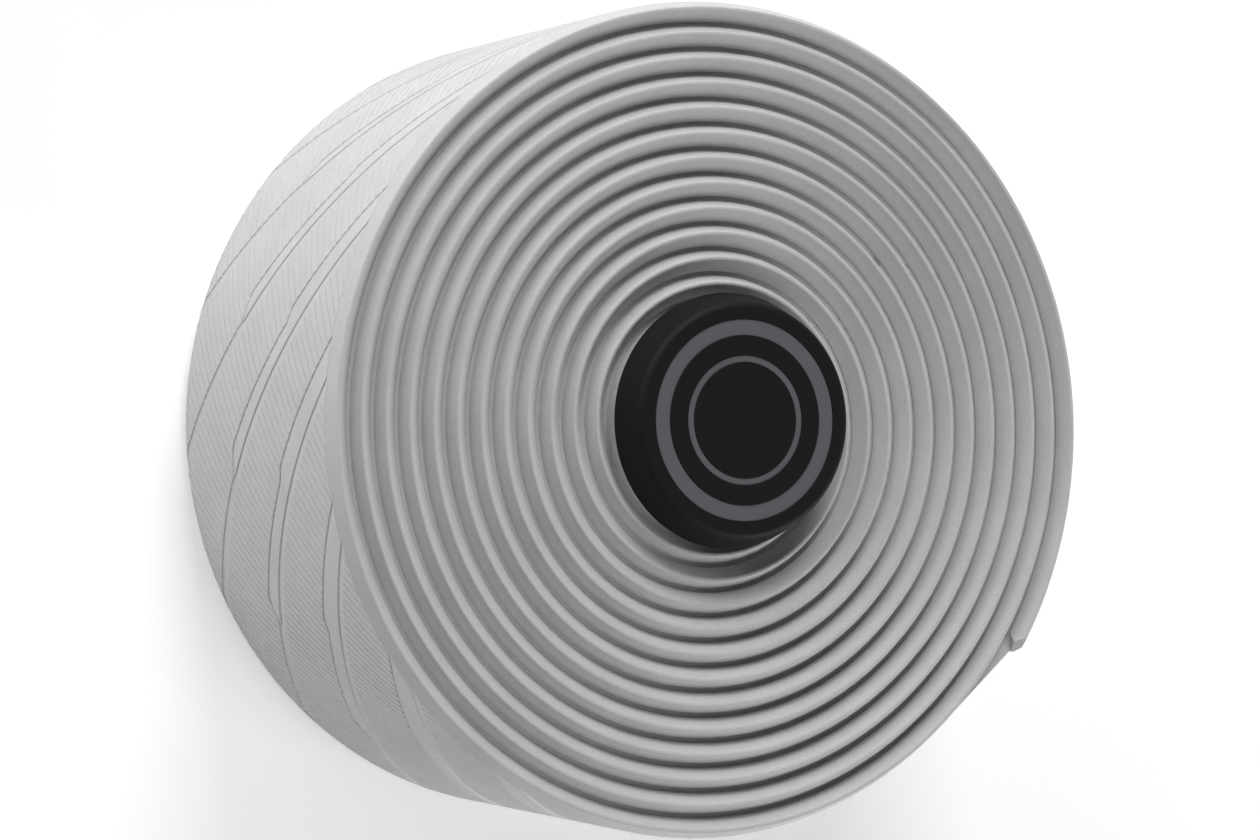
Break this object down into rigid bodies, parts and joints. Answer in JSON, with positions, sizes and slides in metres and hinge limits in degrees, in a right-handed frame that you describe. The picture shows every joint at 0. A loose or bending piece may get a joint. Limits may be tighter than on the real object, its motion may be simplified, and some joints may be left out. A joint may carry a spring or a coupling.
{
  "type": "handlebar tape roll",
  "caption": "Roll of bevel-edged bicycle handlebar tape wound into a spiral, standing on its side with a round bar-end plug pushed into its core.",
  "frame": {"origin": "middle of the roll's outline, on the surface that the roll stands on", "axes": "+Z along the winding axis towards the plug's cap, +Y away from the viewer when the loose end lies at the lower right, +X to the right"},
  "size_m": [0.083, 0.0818, 0.044],
  "materials": {
    "tape": "matt, fine-grained foam",
    "plug": "satin moulded"
  },
  "bodies": {
    "root": {"tape": "tape", "end_plug": "plug"}
  },
  "joints": []
}
